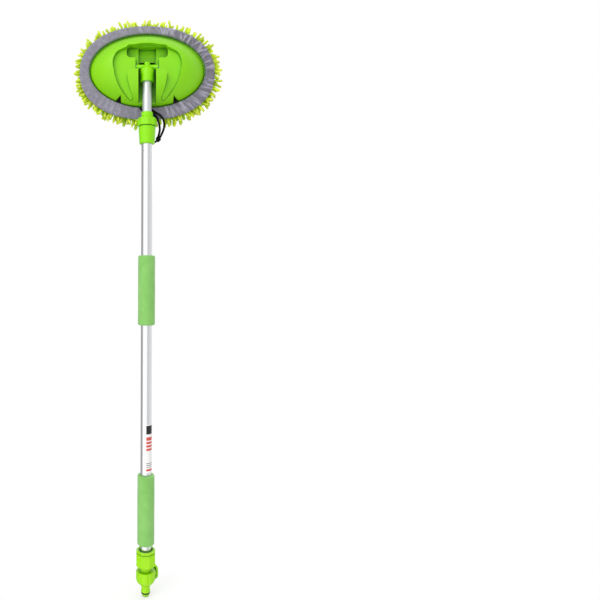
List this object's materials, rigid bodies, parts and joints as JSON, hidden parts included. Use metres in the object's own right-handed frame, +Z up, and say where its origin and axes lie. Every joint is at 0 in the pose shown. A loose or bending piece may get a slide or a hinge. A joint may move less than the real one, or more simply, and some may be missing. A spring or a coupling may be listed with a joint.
{
  "type": "telescopic wash brush",
  "caption": "Telescopic water-fed wash brush: two-tube pole with twist lock, foam grips, valve with hose nipple, and a hinged oval head with a chenille cover.",
  "frame": {"origin": "on the pole's axis at the shoulder of the hose nipple, where a hose connector stops", "axes": "+Z up the pole from the nipple to the head, +X along the head's width, +Y the side that the chenille faces when the head is folded flat along the pole"},
  "size_m": [0.2688, 0.0925, 1.0003],
  "materials": {
    "abs_green": "moulded, semi-gloss",
    "abs_bright": "moulded, semi-gloss",
    "pole_aluminium": "drawn, anodised",
    "grip_foam": "closed-cell foam, matt",
    "film": "blank printed film",
    "acetal": "moulded acetal",
    "seal_rubber": "nitrile rubber",
    "steel": "stainless",
    "sponge": "open-cell foam",
    "chenille": "microfibre chenille",
    "hem_fabric": "elastic woven binding",
    "cord": "braided polyester"
  },
  "bodies": {
    "outer_pole": {"outer_tube": "pole_aluminium", "lower_grip": "grip_foam", "middle_grip": "grip_foam", "label": "film", "lock_body": "abs_bright", "lock_collet": "acetal", "lock_seal": "seal_rubber", "tube_coupling": "abs_bright", "coupling_washer": "seal_rubber", "valve_body": "abs_bright", "seat_retainer": "acetal", "ball_seats": "acetal", "hose_nipple": "abs_bright", "nipple_seal": "seal_rubber"},
    "lock_nut": {"lock_nut": "abs_bright"},
    "valve_handle": {"lever": "abs_bright", "valve_stem": "acetal", "valve_ball": "acetal", "stem_seal": "seal_rubber", "lever_screw": "steel"},
    "guide": {"guide_bush": "acetal", "guide_seals": "seal_rubber"},
    "inner_pole": {"inner_tube": "pole_aluminium", "hub": "abs_bright", "pivot_pins": "steel", "hub_screw": "steel"},
    "head": {"head_plate": "abs_green", "head_ribs": "abs_green", "sponge_pad": "sponge", "chenille_upper_left": "chenille", "chenille_upper_right": "chenille", "chenille_lower_left": "chenille", "chenille_lower_right": "chenille", "hem": "hem_fabric", "hem_drawstring": "cord", "cord_right": "cord", "cord_left": "cord", "cord_knot": "cord"}
  },
  "joints": [
    {"name": "lock_twist", "type": "hinge", "parent": "outer_pole", "child": "lock_nut", "pos_m": [0, 0, 0.7836], "axis": [0, 0, 1], "range_deg": [0, 120]},
    {"name": "valve_turn", "type": "hinge", "parent": "outer_pole", "child": "valve_handle", "pos_m": [0, 0, 0.0145], "axis": [0.7071, 0.7071, 0], "range_deg": [0, 90]},
    {"name": "pole_slide", "type": "slide", "parent": "outer_pole", "child": "guide", "axis": [0, 0, 1], "range_m": [0, 0.48]},
    {"name": "pole_turn", "type": "hinge", "parent": "guide", "child": "inner_pole", "pos_m": [0, 0, 0.17], "axis": [0, 0, 1], "continuous": true},
    {"name": "head_tilt", "type": "hinge", "parent": "inner_pole", "child": "head", "pos_m": [0, 0, 0.885], "axis": [1, 0, 0], "range_deg": [0, 90]}
  ]
}
